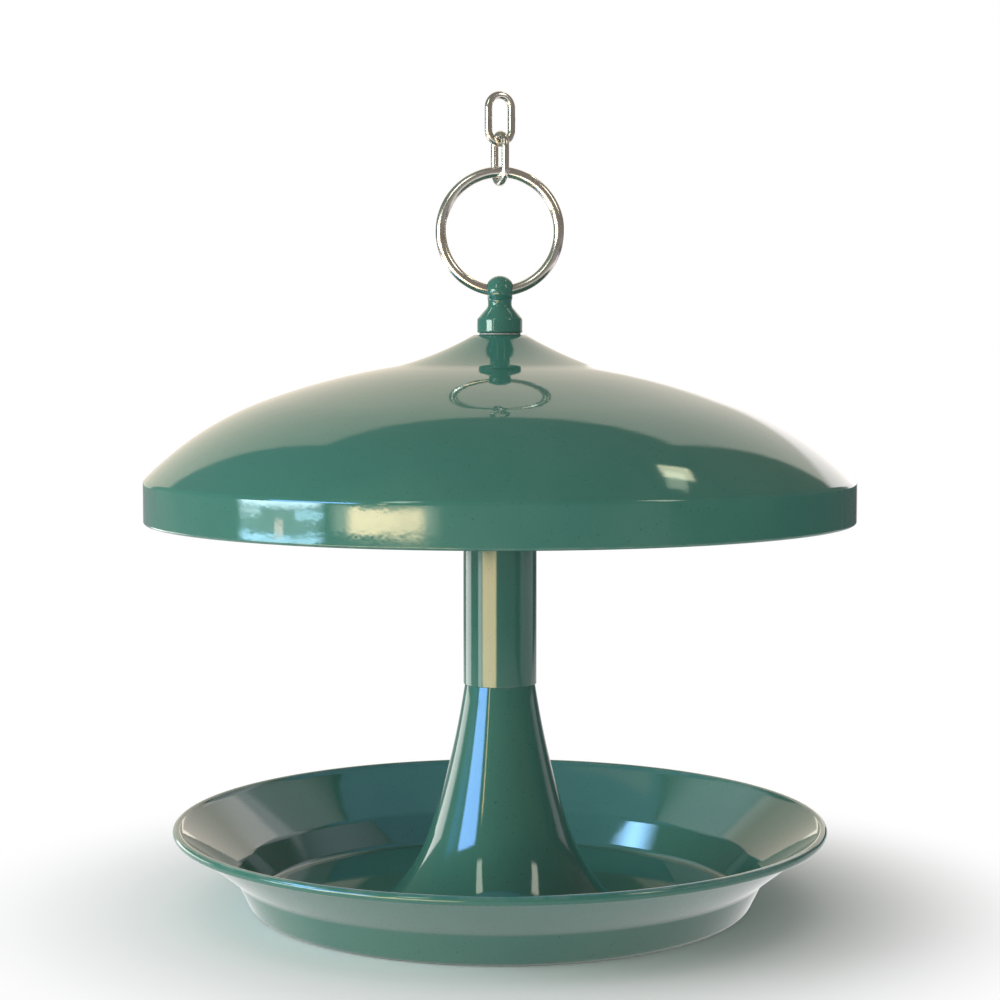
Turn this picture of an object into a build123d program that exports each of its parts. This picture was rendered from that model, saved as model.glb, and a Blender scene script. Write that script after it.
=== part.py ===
from build123d import *
import os
from math import atan2, cos, radians, sin, sqrt, tan

# Hanging bird feeder: a spun dome roof over a spun seed tray, on a tube with a trumpet foot.
# A tie rod clamps the stack from a nut under the tray to the finial, which carries a ring and chain.
# Millimetres, +Z up, front towards -Y, origin at the centre of the tray's underside.
# Round pieces are half profiles on the XZ plane, turned about Z.

# Tray
tray_sheet = 1.0
tray_rim_radius = 120.6
tray_height = 30.6
tray_rim_bead = 1.7
tray_crease_radius = 98.1
tray_crease_height = 12.2
tray_crease_bend = 4.0
tray_wall_angle = 63.5
tray_floor_bend = 4.0
boss_top_radius = 15.0
boss_foot_radius = 27.0
boss_bend = 3.0

# Pedestal
pedestal_sheet = 1.0
pedestal_height = 80.2
pedestal_foot_radius = 42.2
flare_waist_radius = 26.2
flare_waist_height = 25.2
flare_hollow = 1.25
neck_length = 14.0
neck_shoulder = 0.4
neck_lap = 4.0
neck_clearance = 0.15

# Column tube and its cap
tube_radius = 13.5
tube_wall = 0.8
tube_length = 123.1
cap_spigot = 9.0
cap_clearance = 0.15
cap_flange = 1.5
cap_hub_radius = 8.2
cap_hub_height = 3.1

# Roof
roof_sheet = 0.9
roof_radius = 130.0
skirt_height = 15.0
skirt_corner = 2.4
hem_height = 4.5
dome_rise = 44.2
crown_radius = 249.0
crown_edge = 86.5
peak_foot_radius = 37.5
peak_rise = 11.4
peak_flat_radius = 9.6
peak_hollow = 1.0

# Tie rod and the fasteners under the tray
rod_radius = 3.0
rod_hole_clearance = 0.3
rod_tail = 1.5
rod_chamfer = 0.6
floor_gap = 1.2
thread_clearance = 0.05
nut_across_flats = 10.0
nut_height = 5.0
nut_chamfer = 0.7
washer_radius = 9.0
washer_thickness = 1.2
spring_washer_radius = 5.6
spring_washer_thickness = 1.6
spring_washer_split = 1.0

# Seal and finial
seal_radius = 7.6
seal_thickness = 0.7
collar_radius = 8.4
collar_height = 5.1
collar_edge = 0.8
collar_shoulder = 1.4
finial_neck_radius = 4.4
finial_neck_height = 9.7
finial_neck_bend = 2.0
ball_radius = 5.5
ball_height = 15.4
thread_depth = 7.5
thread_end_gap = 1.0
eye_clearance = 0.27

# Ring and chain
ring_radius = 21.6
ring_wire = 4.0
link_wire = 2.8
link_inner_length = 14.5
link_seat = 0.3
link_play = 0.35
chain_twist = 25.0

# Heights of the stack, from the tray floor up
floor_top = tray_sheet
shoulder_height = floor_top + pedestal_height
tube_top = shoulder_height + tube_length
flange_top = tube_top + cap_flange
peak_underside = flange_top + cap_hub_height
peak_top = peak_underside + roof_sheet
finial_base = peak_top + seal_thickness
eye_height = finial_base + ball_height

# Bores that the rod passes through
rod_hole = rod_radius + rod_hole_clearance
thread_bore = rod_radius + thread_clearance

# The raised centre of the tray is as deep as the fasteners under it
boss_height = floor_gap + rod_tail + nut_height + spring_washer_thickness + washer_thickness
washer_base = boss_height - washer_thickness
spring_washer_base = washer_base - spring_washer_thickness
nut_base = spring_washer_base - nut_height
rod_base = nut_base - rod_tail
rod_top = finial_base + thread_depth

os.makedirs("parts", exist_ok=True)


# Tray: one spun sheet with a raised centre, a flat floor, a steep wall and a flared lip
# The floor is drawn as a line of its own, from bend to bend, so that the feeder stands on a true plane
tray_knee_radius = tray_crease_radius - tray_crease_height / tan(radians(tray_wall_angle))
bead_centre = (tray_rim_radius - tray_rim_bead, tray_height - tray_rim_bead)
boss_angle = atan2(boss_height, boss_foot_radius - boss_top_radius)
boss_tangent = boss_bend * tan(boss_angle / 2)
knee_angle = radians(tray_wall_angle)
knee_tangent = tray_floor_bend * tan(knee_angle / 2)
floor_start = boss_foot_radius + boss_tangent
floor_end = tray_knee_radius - knee_tangent
with BuildPart() as tray:
    with BuildSketch(Plane.XZ):
        with BuildLine():
            boss = FilletPolyline(
                (rod_hole, boss_height),
                (boss_top_radius, boss_height),
                (boss_foot_radius - boss_tangent * cos(boss_angle), boss_tangent * sin(boss_angle)),
                radius=boss_bend,
            )
            TangentArc(boss @ 1, (floor_start, 0), tangent=boss % 1)
            floor = Line((floor_start, 0), (floor_end, 0))
            knee = TangentArc(
                floor @ 1,
                (tray_knee_radius + knee_tangent * cos(knee_angle), knee_tangent * sin(knee_angle)),
                tangent=floor % 1,
            )
            FilletPolyline(
                knee @ 1,
                (tray_crease_radius, tray_crease_height),
                bead_centre,
                radius=tray_crease_bend,
            )
            offset(amount=tray_sheet, side=Side.LEFT)
        make_face()
        with Locations(bead_centre):
            Circle(tray_rim_bead)
    revolve(axis=Axis.Z)
tray.part.label = "tray"
export_step(tray.part, "parts/tray.step")


# Pedestal: a trumpet drawn out of a tube, with a shouldered neck that the column slips over
tube_bore = tube_radius - tube_wall
neck_radius = tube_bore - neck_clearance
shoulder_radius = neck_radius + neck_shoulder
with BuildPart() as pedestal:
    with BuildSketch(Plane.XZ):
        with BuildLine():
            upper_flare = SagittaArc(
                (shoulder_radius, shoulder_height),
                (flare_waist_radius, floor_top + flare_waist_height),
                -flare_hollow,
            )
            TangentArc(
                upper_flare @ 1,
                (pedestal_foot_radius, floor_top),
                tangent=upper_flare % 1,
            )
            offset(amount=pedestal_sheet, side=Side.RIGHT)
        make_face()
    revolve(axis=Axis.Z)
    split(bisect_by=Plane.XY.offset(floor_top), keep=Keep.TOP)
    with BuildSketch(Plane.XY.offset(shoulder_height - neck_lap)):
        Circle(neck_radius)
        Circle(neck_radius - pedestal_sheet, mode=Mode.SUBTRACT)
    extrude(amount=neck_lap + neck_length)
pedestal.part.label = "pedestal"
export_step(pedestal.part, "parts/pedestal.step")


# Column tube: stands on the pedestal's shoulder, round its neck
with BuildPart() as column_tube:
    with BuildSketch(Plane.XY.offset(shoulder_height)):
        Circle(tube_radius)
        Circle(tube_bore, mode=Mode.SUBTRACT)
    extrude(amount=tube_length)
column_tube.part.label = "column_tube"
export_step(column_tube.part, "parts/column_tube.step")


# Column cap: a turned saddle with a spigot in the tube, a flange on its end and a hub under the peak
spigot_radius = tube_bore - cap_clearance
with BuildPart() as column_cap:
    with BuildSketch(Plane.XZ):
        with BuildLine():
            Polyline(
                (rod_hole, tube_top - cap_spigot),
                (spigot_radius, tube_top - cap_spigot),
                (spigot_radius, tube_top),
                (tube_radius, tube_top),
                (tube_radius, flange_top),
                (cap_hub_radius, flange_top),
                (cap_hub_radius, peak_underside),
                (rod_hole, peak_underside),
                close=True,
            )
        make_face()
    revolve(axis=Axis.Z)
column_cap.part.label = "column_cap"
export_step(column_cap.part, "parts/column_cap.step")


# Roof: a spun dome of two arcs under a hollow-sided peak, with a straight skirt hemmed inwards
peak_foot = peak_top - peak_rise
crown_centre = peak_foot - sqrt(crown_radius**2 - peak_foot_radius**2)
skirt_top = crown_centre + crown_radius - dome_rise
roof_rim = skirt_top - skirt_height


def crown_height(radius):
    """Height of the crown arc at a distance from the axis."""
    return crown_centre + sqrt(crown_radius**2 - radius**2)


with BuildPart() as roof:
    with BuildSketch(Plane.XZ):
        with BuildLine():
            peak_seat = Line((rod_hole, peak_top), (peak_flat_radius, peak_top))
            peak_side = SagittaArc(peak_seat @ 1, (peak_foot_radius, peak_foot), -peak_hollow)
            crown_middle = (peak_foot_radius + crown_edge) / 2
            crown = ThreePointArc(
                peak_side @ 1,
                (crown_middle, crown_height(crown_middle)),
                (crown_edge, crown_height(crown_edge)),
            )
            haunch = TangentArc(crown @ 1, (roof_radius, skirt_top), tangent=crown % 1)
            Line(haunch @ 1, (roof_radius, roof_rim + roof_sheet))
            offset(amount=roof_sheet, side=Side.RIGHT)
        make_face()
        with Locations((roof_radius - roof_sheet, roof_rim + hem_height / 2)):
            SlotOverall(hem_height, 2 * roof_sheet, rotation=90)
    revolve(axis=Axis.Z)
    corner = roof.edges().filter_by(GeomType.CIRCLE).filter_by(
        lambda edge: abs(edge.radius - roof_radius) < roof_sheet / 2
        and abs(edge.center().Z - skirt_top) < roof_sheet / 2
    )
    fillet(corner, radius=skirt_corner)
roof.part.label = "roof"
export_step(roof.part, "parts/roof.step")


# Tie rod: runs from the nut under the tray into the finial
with BuildPart() as tie_rod:
    with BuildSketch(Plane.XY.offset(rod_base)):
        Circle(rod_radius)
    extrude(amount=rod_top - rod_base)
    chamfer(tie_rod.edges().filter_by(GeomType.CIRCLE), length=rod_chamfer)
tie_rod.part.label = "tie_rod"
export_step(tie_rod.part, "parts/tie_rod.step")


# Base washer: flat, against the underside of the tray's raised centre
with BuildPart() as base_washer:
    with BuildSketch(Plane.XY.offset(washer_base)):
        Circle(washer_radius)
        Circle(rod_hole, mode=Mode.SUBTRACT)
    extrude(amount=washer_thickness)
base_washer.part.label = "base_washer"
export_step(base_washer.part, "parts/base_washer.step")


# Base spring washer: a split ring between the washer and the nut
with BuildPart() as base_spring_washer:
    with BuildSketch(Plane.XY.offset(spring_washer_base)):
        Circle(spring_washer_radius)
        Circle(rod_hole, mode=Mode.SUBTRACT)
        with Locations((spring_washer_radius / 2, 0)):
            Rectangle(spring_washer_radius, spring_washer_split, mode=Mode.SUBTRACT)
    extrude(amount=spring_washer_thickness)
base_spring_washer.part.label = "base_spring_washer"
export_step(base_spring_washer.part, "parts/base_spring_washer.step")


# Base nut: a hexagon nut with chamfered corners
nut_corner_radius = nut_across_flats / 2 / cos(radians(30))
nut_turned_radius = nut_corner_radius - nut_chamfer
with BuildPart() as base_nut:
    with BuildSketch(Plane.XY.offset(nut_base)):
        RegularPolygon(nut_across_flats / 2, 6, major_radius=False)
    extrude(amount=nut_height)
    with BuildSketch(Plane.XZ):
        with BuildLine():
            Polyline(
                (thread_bore, nut_base),
                (nut_turned_radius, nut_base),
                (nut_corner_radius, nut_base + nut_chamfer),
                (nut_corner_radius, nut_base + nut_height - nut_chamfer),
                (nut_turned_radius, nut_base + nut_height),
                (thread_bore, nut_base + nut_height),
                close=True,
            )
        make_face()
    revolve(axis=Axis.Z, mode=Mode.INTERSECT)
base_nut.part.label = "base_nut"
export_step(base_nut.part, "parts/base_nut.step")


# Roof seal: a thin washer under the finial's collar
with BuildPart() as roof_seal:
    with BuildSketch(Plane.XY.offset(peak_top)):
        Circle(seal_radius)
        Circle(rod_hole, mode=Mode.SUBTRACT)
    extrude(amount=seal_thickness)
roof_seal.part.label = "roof_seal"
export_step(roof_seal.part, "parts/roof_seal.step")


# Finial: turned collar, cone, neck and ball, tapped from below and drilled across for the ring
ball_start = eye_height - sqrt(ball_radius**2 - finial_neck_radius**2)
ring_rise = ring_radius - sqrt(ring_radius**2 - ball_radius**2)
eye_radius = ring_wire / 2 + ring_rise + eye_clearance
with BuildPart() as finial:
    with BuildSketch(Plane.XZ):
        with BuildLine():
            FilletPolyline(
                (0, finial_base),
                (collar_radius, finial_base),
                (collar_radius, finial_base + collar_height),
                (finial_neck_radius, finial_base + finial_neck_height),
                (finial_neck_radius, ball_start),
                radius=[collar_edge, collar_shoulder, finial_neck_bend],
            )
            ThreePointArc(
                (finial_neck_radius, ball_start),
                (ball_radius, eye_height),
                (0, eye_height + ball_radius),
            )
            Line((0, eye_height + ball_radius), (0, finial_base))
        make_face()
    revolve(axis=Axis.Z)
    with BuildSketch(Plane.XY.offset(finial_base)):
        Circle(thread_bore)
    extrude(amount=thread_depth + thread_end_gap, mode=Mode.SUBTRACT)
    with BuildSketch(Plane.YZ):
        with Locations((0, eye_height)):
            Circle(eye_radius)
    extrude(amount=ball_radius, both=True, mode=Mode.SUBTRACT)
finial.part.label = "finial"
export_step(finial.part, "parts/finial.step")


# Hanging ring: a round wire ring that stands in the finial's eye
ring_centre = eye_height + ring_radius
with BuildPart(Plane((0, 0, ring_centre), x_dir=(1, 0, 0), z_dir=(0, -1, 0))) as hanging_ring:
    Torus(ring_radius, ring_wire / 2)
hanging_ring.part.label = "hanging_ring"
export_step(hanging_ring.part, "parts/hanging_ring.step")


# Chain links: welded ovals of round wire, each square to the one below and turned a little as they hang
twist = radians(chain_twist)
link_inner_width = ring_wire / cos(twist) + link_wire * tan(twist) + 2 * link_play
link_bend = (link_inner_width + link_wire) / 2
link_straight = link_inner_length - link_inner_width


def chain_link(seat_height, seat_radius, across):
    """Upright link, as wide as the direction across, with its lower bend under a wire at that height."""
    bend_height = seat_height - seat_radius - link_seat + link_inner_width / 2
    link_plane = Plane(origin=(0, 0, bend_height), x_dir=across, z_dir=across.cross(Vector(0, 0, 1)))
    with BuildPart() as link:
        with BuildLine(link_plane) as centreline:
            right = Line((link_bend, 0), (link_bend, link_straight))
            top = TangentArc(right @ 1, (-link_bend, link_straight), tangent=right % 1)
            left = Line(top @ 1, (-link_bend, 0))
            TangentArc(left @ 1, right @ 0, tangent=left % 1)
        with BuildSketch(Plane(origin=right @ 0, z_dir=right % 0)):
            Circle(link_wire / 2)
        sweep(path=centreline.wires()[0])
    return link


ring_top = ring_centre + ring_radius
chain_link_lower = chain_link(ring_top, ring_wire / 2, Vector(0, 1, 0).rotate(Axis.Z, chain_twist))
chain_link_lower.part.label = "chain_link_lower"
export_step(chain_link_lower.part, "parts/chain_link_lower.step")

lower_link_top = ring_top - ring_wire / 2 - link_seat + link_inner_length + link_wire / 2
chain_link_upper = chain_link(lower_link_top, link_wire / 2, Vector(1, 0, 0).rotate(Axis.Z, chain_twist))
chain_link_upper.part.label = "chain_link_upper"
export_step(chain_link_upper.part, "parts/chain_link_upper.step")
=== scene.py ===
import math

import bpy
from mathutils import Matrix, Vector


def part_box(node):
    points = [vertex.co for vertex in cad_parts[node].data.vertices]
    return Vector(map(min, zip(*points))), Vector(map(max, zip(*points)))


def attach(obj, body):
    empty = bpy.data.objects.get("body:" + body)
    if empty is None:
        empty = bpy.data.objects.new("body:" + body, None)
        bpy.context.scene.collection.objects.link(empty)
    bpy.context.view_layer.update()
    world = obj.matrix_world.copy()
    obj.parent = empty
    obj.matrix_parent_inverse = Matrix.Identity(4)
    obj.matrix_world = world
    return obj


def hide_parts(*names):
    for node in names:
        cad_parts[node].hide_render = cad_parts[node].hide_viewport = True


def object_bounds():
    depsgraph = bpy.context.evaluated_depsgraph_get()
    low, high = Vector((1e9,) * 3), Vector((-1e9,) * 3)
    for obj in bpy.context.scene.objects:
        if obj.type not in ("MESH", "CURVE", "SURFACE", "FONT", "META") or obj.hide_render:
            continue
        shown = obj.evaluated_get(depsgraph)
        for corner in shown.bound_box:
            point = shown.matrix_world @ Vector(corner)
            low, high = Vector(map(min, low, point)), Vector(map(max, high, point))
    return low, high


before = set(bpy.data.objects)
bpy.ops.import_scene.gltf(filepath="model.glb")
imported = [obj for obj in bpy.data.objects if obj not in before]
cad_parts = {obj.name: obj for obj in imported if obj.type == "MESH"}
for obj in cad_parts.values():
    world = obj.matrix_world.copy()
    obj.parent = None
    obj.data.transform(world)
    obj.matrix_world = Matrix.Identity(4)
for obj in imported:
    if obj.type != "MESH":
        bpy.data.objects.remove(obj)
cad_low, cad_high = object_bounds()

# Viewpoint: in front of the feeder, level with the top of its roof and looking slightly down into the tray.
# The lens is long enough for the feeder to fill the picture without bending its round lines.
mm = 0.001
viewpoint = Vector((0, -817 * mm, 204.9 * mm))
feeder_middle = (cad_low + cad_high) / 2
lens_length = 80
film_width = 36
bpy.ops.object.select_all(action="DESELECT")
bpy.ops.object.camera_add(location=viewpoint)
camera = bpy.context.object
camera.name = "camera"
camera.rotation_euler = (feeder_middle - viewpoint).to_track_quat("-Z", "Y").to_euler()
camera.data.lens = lens_length
camera.data.sensor_width = film_width
bpy.context.scene.camera = camera
bpy.context.scene.view_settings.view_transform = "Standard"


# Table top: a wide pale board, lit and shaded like the feeder where it stands.
# Further out it is plain white to the lens, so that no horizon shows.
# The gloss sees it dimmed under the tray and in the distance.
table_size = 12.0
table_cuts = 8
board_pale = (0.92, 0.92, 0.91, 1)
board_white = (1, 1, 1, 1)
white_starts = 0.105
white_ends = 0.22
tray_shade_starts = 0.0935
tray_shade_ends = 0.0895
far_shade_starts = 0.3
far_shade_ends = 0.9
gloss_shade = 0.65
bpy.ops.object.select_all(action="DESELECT")
bpy.ops.mesh.primitive_plane_add(size=table_size)
table = bpy.context.object
table.name = "table_top"
bpy.ops.object.mode_set(mode="EDIT")
bpy.ops.mesh.subdivide(number_cuts=table_cuts)
bpy.ops.object.mode_set(mode="OBJECT")


def calculated(tree, operation, first, second=0.0):
    """The output of a Math node on two values, each of them a number or another node's output."""
    node = tree.nodes.new("ShaderNodeMath")
    node.operation = operation
    for socket, value in zip(node.inputs, (first, second)):
        if isinstance(value, (int, float)):
            socket.default_value = value
        else:
            tree.links.new(value, socket)
    return node.outputs["Value"]


def ramped(tree, value, start, end, low=0.0, high=1.0):
    """The output of a smooth step from low to high as value goes from start to end."""
    node = tree.nodes.new("ShaderNodeMapRange")
    node.interpolation_type = "SMOOTHSTEP"
    node.inputs["From Min"].default_value = start
    node.inputs["From Max"].default_value = end
    node.inputs["To Min"].default_value = low
    node.inputs["To Max"].default_value = high
    tree.links.new(value, node.inputs["Value"])
    return node.outputs["Result"]


def distance_from_column(tree, place):
    """The output of a place's distance from the column, whatever its height."""
    flat = tree.nodes.new("ShaderNodeVectorMath")
    flat.operation = "MULTIPLY"
    flat.inputs[1].default_value = (1, 1, 0)
    tree.links.new(place, flat.inputs[0])
    length = tree.nodes.new("ShaderNodeVectorMath")
    length.operation = "LENGTH"
    tree.links.new(flat.outputs["Vector"], length.inputs[0])
    return length.outputs["Value"]


def coating(name, settings):
    """A new material with these values on its shader's own sockets, its node tree and its shader."""
    material = bpy.data.materials.new(name)
    material.use_nodes = True
    tree = material.node_tree
    shader = tree.nodes["Principled BSDF"]
    for socket, value in settings.items():
        shader.inputs[socket].default_value = value
    return material, tree, shader


board, tree, shader = coating(
    "pale_board", {"Base Color": board_pale, "Roughness": 0.8, "Specular IOR Level": 0.1}
)
reach = distance_from_column(tree, tree.nodes.new("ShaderNodeTexCoord").outputs["Object"])
ray = tree.nodes.new("ShaderNodeLightPath")
to_lens = ray.outputs["Is Camera Ray"]
to_gloss = ray.outputs["Is Glossy Ray"]
white_to_lens = calculated(tree, "MULTIPLY", to_lens, ramped(tree, reach, white_starts, white_ends))
far_shade = ramped(tree, reach, far_shade_starts, far_shade_ends)
tray_shade = ramped(tree, reach, tray_shade_starts, tray_shade_ends)
shade = calculated(tree, "MULTIPLY", calculated(tree, "MAXIMUM", far_shade, tray_shade), gloss_shade)
shade = calculated(tree, "MULTIPLY", shade, to_gloss)
plain_white = tree.nodes.new("ShaderNodeEmission")
plain_white.inputs["Color"].default_value = board_white
tree.links.new(calculated(tree, "SUBTRACT", 1.0, shade), plain_white.inputs["Strength"])
blended = tree.nodes.new("ShaderNodeMixShader")
tree.links.new(calculated(tree, "MAXIMUM", white_to_lens, to_gloss), blended.inputs["Fac"])
tree.links.new(shader.outputs["BSDF"], blended.inputs[1])
tree.links.new(plain_white.outputs["Emission"], blended.inputs[2])
tree.links.new(blended.outputs["Shader"], tree.nodes["Material Output"].inputs["Surface"])
table.data.materials.append(board)


# Backdrop: plain white for the lens, and soft light on the feeder that falls off from left to right.
# The gloss sees a warm pale screen behind the table instead, in dim surroundings, a little bluer on the left.
screen_top = math.radians(50.5)
screen_side = math.radians(34)
screen_edge = math.radians(1.2)
side_edge = 0.02
screen_left = (1.12, 0.98, 0.82, 1)
screen_right = (1.42, 1.30, 1.16, 1)
screen_blend = (-0.10, 0.35)
dim_left = (0.20, 0.26, 0.25, 1)
dim_right = (0.23, 0.215, 0.20, 1)
dim_blend = (-0.55, -0.15)
soft_left = (0.94, 0.95, 0.95, 1)
soft_right = (0.24, 0.23, 0.22, 1)
lens_white = (1, 1, 1, 1)


def colour_mix(tree, factor, first, second):
    """The output of a mix of two colours, each of them a plain colour or another node's output."""
    node = tree.nodes.new("ShaderNodeMix")
    node.data_type = "RGBA"
    tree.links.new(factor, node.inputs[0])
    for socket, colour in ((node.inputs[6], first), (node.inputs[7], second)):
        if isinstance(colour, tuple):
            socket.default_value = colour
        else:
            tree.links.new(colour, socket)
    return node.outputs[2]


backdrop = bpy.data.worlds.new("backdrop")
bpy.context.scene.world = backdrop
backdrop.use_nodes = True
tree = backdrop.node_tree
axes = tree.nodes.new("ShaderNodeSeparateXYZ")
tree.links.new(tree.nodes.new("ShaderNodeTexCoord").outputs["Generated"], axes.inputs["Vector"])
sideways, back, up = axes.outputs
below_top = ramped(tree, up, math.sin(screen_top + screen_edge), math.sin(screen_top - screen_edge))
screen_half = calculated(tree, "MULTIPLY", back, math.tan(screen_side))
inside_sides = calculated(tree, "SUBTRACT", screen_half, calculated(tree, "ABSOLUTE", sideways))
between_sides = ramped(tree, inside_sides, -side_edge, side_edge)
on_screen = calculated(tree, "MULTIPLY", below_top, between_sides)
screen = colour_mix(tree, ramped(tree, sideways, *screen_blend), screen_left, screen_right)
dim = colour_mix(tree, ramped(tree, sideways, *dim_blend), dim_left, dim_right)
gloss_view = colour_mix(tree, on_screen, dim, screen)
across = tree.nodes.new("ShaderNodeMapRange")
across.inputs["From Min"].default_value = -1
tree.links.new(sideways, across.inputs["Value"])
even_light = colour_mix(tree, across.outputs["Result"], soft_left, soft_right)
ray = tree.nodes.new("ShaderNodeLightPath")
light = colour_mix(tree, ray.outputs["Is Glossy Ray"], even_light, gloss_view)
light = colour_mix(tree, ray.outputs["Is Camera Ray"], light, lens_white)
tree.links.new(light, tree.nodes["Background"].inputs["Color"])


# Panels for the gloss: soft-edged lights that the enamel and the wire mirror as patches, stripes and dashes.
# Cool ones stand on the left, golden ones between them and the lens, and weak grey ones on the right.
pale_blue = (0.42, 0.75, 1.0)
deep_blue = (0.22, 0.45, 1.0)
cool_white = (0.64, 0.88, 1.0)
pale_green = (0.62, 0.95, 0.90)
golden = (1.0, 0.73, 0.38)
soft_edge = 0.16
panels = (
    # name, degrees from straight left towards the lens, metres away, bottom, top, width, brightness, colour
    ("cool_patch", 23.0, 0.918, 0.0745, 0.0955, 0.56, 3.0, pale_green),
    ("cool_patch_foot", 23.0, 0.914, 0.0675, 0.0750, 0.56, 22.0, pale_blue),
    ("cool_patch_top", 23.0, 0.914, 0.0945, 0.1500, 0.56, 21.0, cool_white),
    ("cool_patch_left", 12.5, 0.912, 0.0895, 0.0965, 0.16, 9.0, cool_white),
    ("cool_patch_right", 34.0, 0.912, 0.0870, 0.0965, 0.18, 12.0, pale_blue),
    ("cool_patch_mark", 23.5, 0.911, 0.0740, 0.0870, 0.06, 9.0, (1.0, 0.72, 0.60)),
    ("blue_panel", 34.0, 0.92, 0.155, 0.42, 0.56, 20.0, deep_blue),
    ("blue_panel_edge", 56.5, 0.92, 0.160, 0.38, 0.05, 9.0, golden),
    ("low_left", -28.0, 0.45, 0.0, 0.10, 0.30, 4.2, (0.95, 0.92, 0.90)),
    ("golden_patch", 57.5, 0.951, 0.0725, 0.0985, 0.44, 15.0, golden),
    ("golden_patch_rim", 57.0, 0.956, 0.0700, 0.1010, 0.62, 4.0, (0.95, 0.95, 0.72)),
    ("golden_stripe", 56.0, 0.42, 0.004, 0.0985, 0.41, 11.5, golden),
    ("pale_stripe", 25.0, 0.42, 0.004, 0.0985, 0.11, 5.0, (0.85, 0.97, 0.92)),
    ("low_back", -90.0, 0.90, 0.045, 0.115, 0.80, 1.1, (1.0, 0.93, 0.80)),
    ("high_right", 207.0, 0.80, 1.34, 1.52, 0.17, 6.5, (1.0, 0.98, 0.66)),
    ("high_right_side", 200.0, 0.80, 1.40, 1.52, 0.24, 3.0, (0.9, 1.0, 0.75)),
    ("left_dash", 57.0, 0.92, 0.60, 1.14, 0.17, 7.0, (0.90, 0.98, 0.82)),
    ("right_dash", 145.0, 0.92, 0.58, 1.04, 0.18, 6.0, (1.0, 0.96, 0.80)),
    ("grey_right", 237.5, 0.317, 0.14, 0.29, 0.34, 0.9, (0.95, 0.90, 1.0)),
    ("low_right", 186.0, 0.45, 0.0, 0.10, 0.60, 0.75, (1.0, 0.92, 1.0)),
)


def soft_lamp(name, turn, away, low, high, width, brightness, colour, edge=soft_edge):
    """An upright area lamp that faces the feeder and fades over that share of its size towards its edges."""
    turn = math.radians(turn)
    spot = Vector((-away * math.cos(turn), -away * math.sin(turn), (low + high) / 2))
    bpy.ops.object.select_all(action="DESELECT")
    bpy.ops.object.light_add(type="AREA", location=spot)
    lamp = bpy.context.object
    lamp.name = name
    facing = Vector((-spot.x, -spot.y, 0 if low < feeder_middle.z else feeder_middle.z - spot.z))
    lamp.rotation_euler = facing.to_track_quat("-Z", "Y").to_euler()
    lamp.data.shape = "RECTANGLE"
    lamp.data.size = width
    lamp.data.size_y = high - low
    lamp.data.energy = brightness * math.pi * width * (high - low)
    lamp.data.color = colour
    lamp.data.use_nodes = True
    tree = lamp.data.node_tree
    across = tree.nodes.new("ShaderNodeSeparateXYZ")
    tree.links.new(tree.nodes.new("ShaderNodeNewGeometry").outputs["Parametric"], across.inputs["Vector"])
    inside = []
    for side in ("X", "Y"):
        from_middle = calculated(tree, "ABSOLUTE", calculated(tree, "SUBTRACT", across.outputs[side], 0.5))
        inside.append(ramped(tree, from_middle, 0.5, 0.5 - edge))
    tree.links.new(calculated(tree, "MULTIPLY", *inside), tree.nodes["Emission"].inputs["Strength"])
    return lamp


def gloss_only(lamp, pieces=None):
    """Shows a lamp in the gloss alone, and only on the pieces of one collection where that is given."""
    lamp.visible_diffuse = False
    lamp.visible_camera = False
    if pieces:
        lamp.light_linking.receiver_collection = pieces


for panel in panels:
    gloss_only(soft_lamp(*panel))


# Soft lamps: a broad cool light from the left and a weaker neutral one from the lens's side.
# They light the enamel's colour only, so that they don't show in its gloss.
for lamp in (
    # name, degrees from straight left towards the lens, metres away, bottom, top, width, brightness, colour
    ("left_light", 12, 1.5, 0.05, 0.95, 1.2, 7.0, (0.90, 0.98, 1.0)),
    ("front_light", 90, 1.3, 0.02, 0.45, 1.8, 3.0, (1.0, 0.99, 0.97)),
):
    soft_lamp(*lamp).visible_glossy = False


# Flag: a low dark board standing on the right, which keeps the right-hand edges dark.
# Only the gloss sees it.
flag_place = 0.50
flag_front = -0.45
flag_back = 1.10
flag_height = 0.15
flag_thickness = 0.01
felt_dark = (0.10, 0.10, 0.115, 1)
bpy.ops.object.select_all(action="DESELECT")
bpy.ops.mesh.primitive_cube_add(size=1, location=(flag_place, (flag_front + flag_back) / 2, flag_height / 2))
flag = bpy.context.object
flag.name = "dark_flag"
flag.scale = (flag_thickness, flag_back - flag_front, flag_height)
bpy.ops.object.transform_apply(location=True, rotation=True, scale=True)
flag.visible_camera = False
flag.visible_diffuse = False
flag.visible_shadow = False
felt, _, _ = coating("dark_felt", {"Base Color": felt_dark, "Roughness": 0.9})
flag.data.materials.append(felt)


# Tray: a dish spun from 1 mm sheet, pressed up in the middle so that the nut hides under it.
# A short steep wall rises to a crease, and above it the lip flares to a rim rolled outwards over its edge.
# Its gloss alone shows a high blue panel, two soft lights behind the feeder and one on the right.
_, tray_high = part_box("tray")
tray_sheet = 1.0 * mm
rim_bead = 1.7 * mm
rim_roll = 245
crease_radius = 98.1 * mm
crease_height = 12.2 * mm
wall_slope = math.radians(63.5)
boss_height = 10.5 * mm
boss_top_radius = 15.0 * mm
boss_foot_radius = 27.0 * mm
rod_hole = 3.3 * mm
boss_bend = 3.0 * mm
floor_bend = 4.0 * mm
crease_bend = 4.0 * mm
rim_wear = 1.6 * mm
arc_flatness = 0.012 * mm
widest_arc_step = 8
merge_distance = 0.001 * mm
spin_steps = 180
smooth_angle = math.radians(35)


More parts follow.
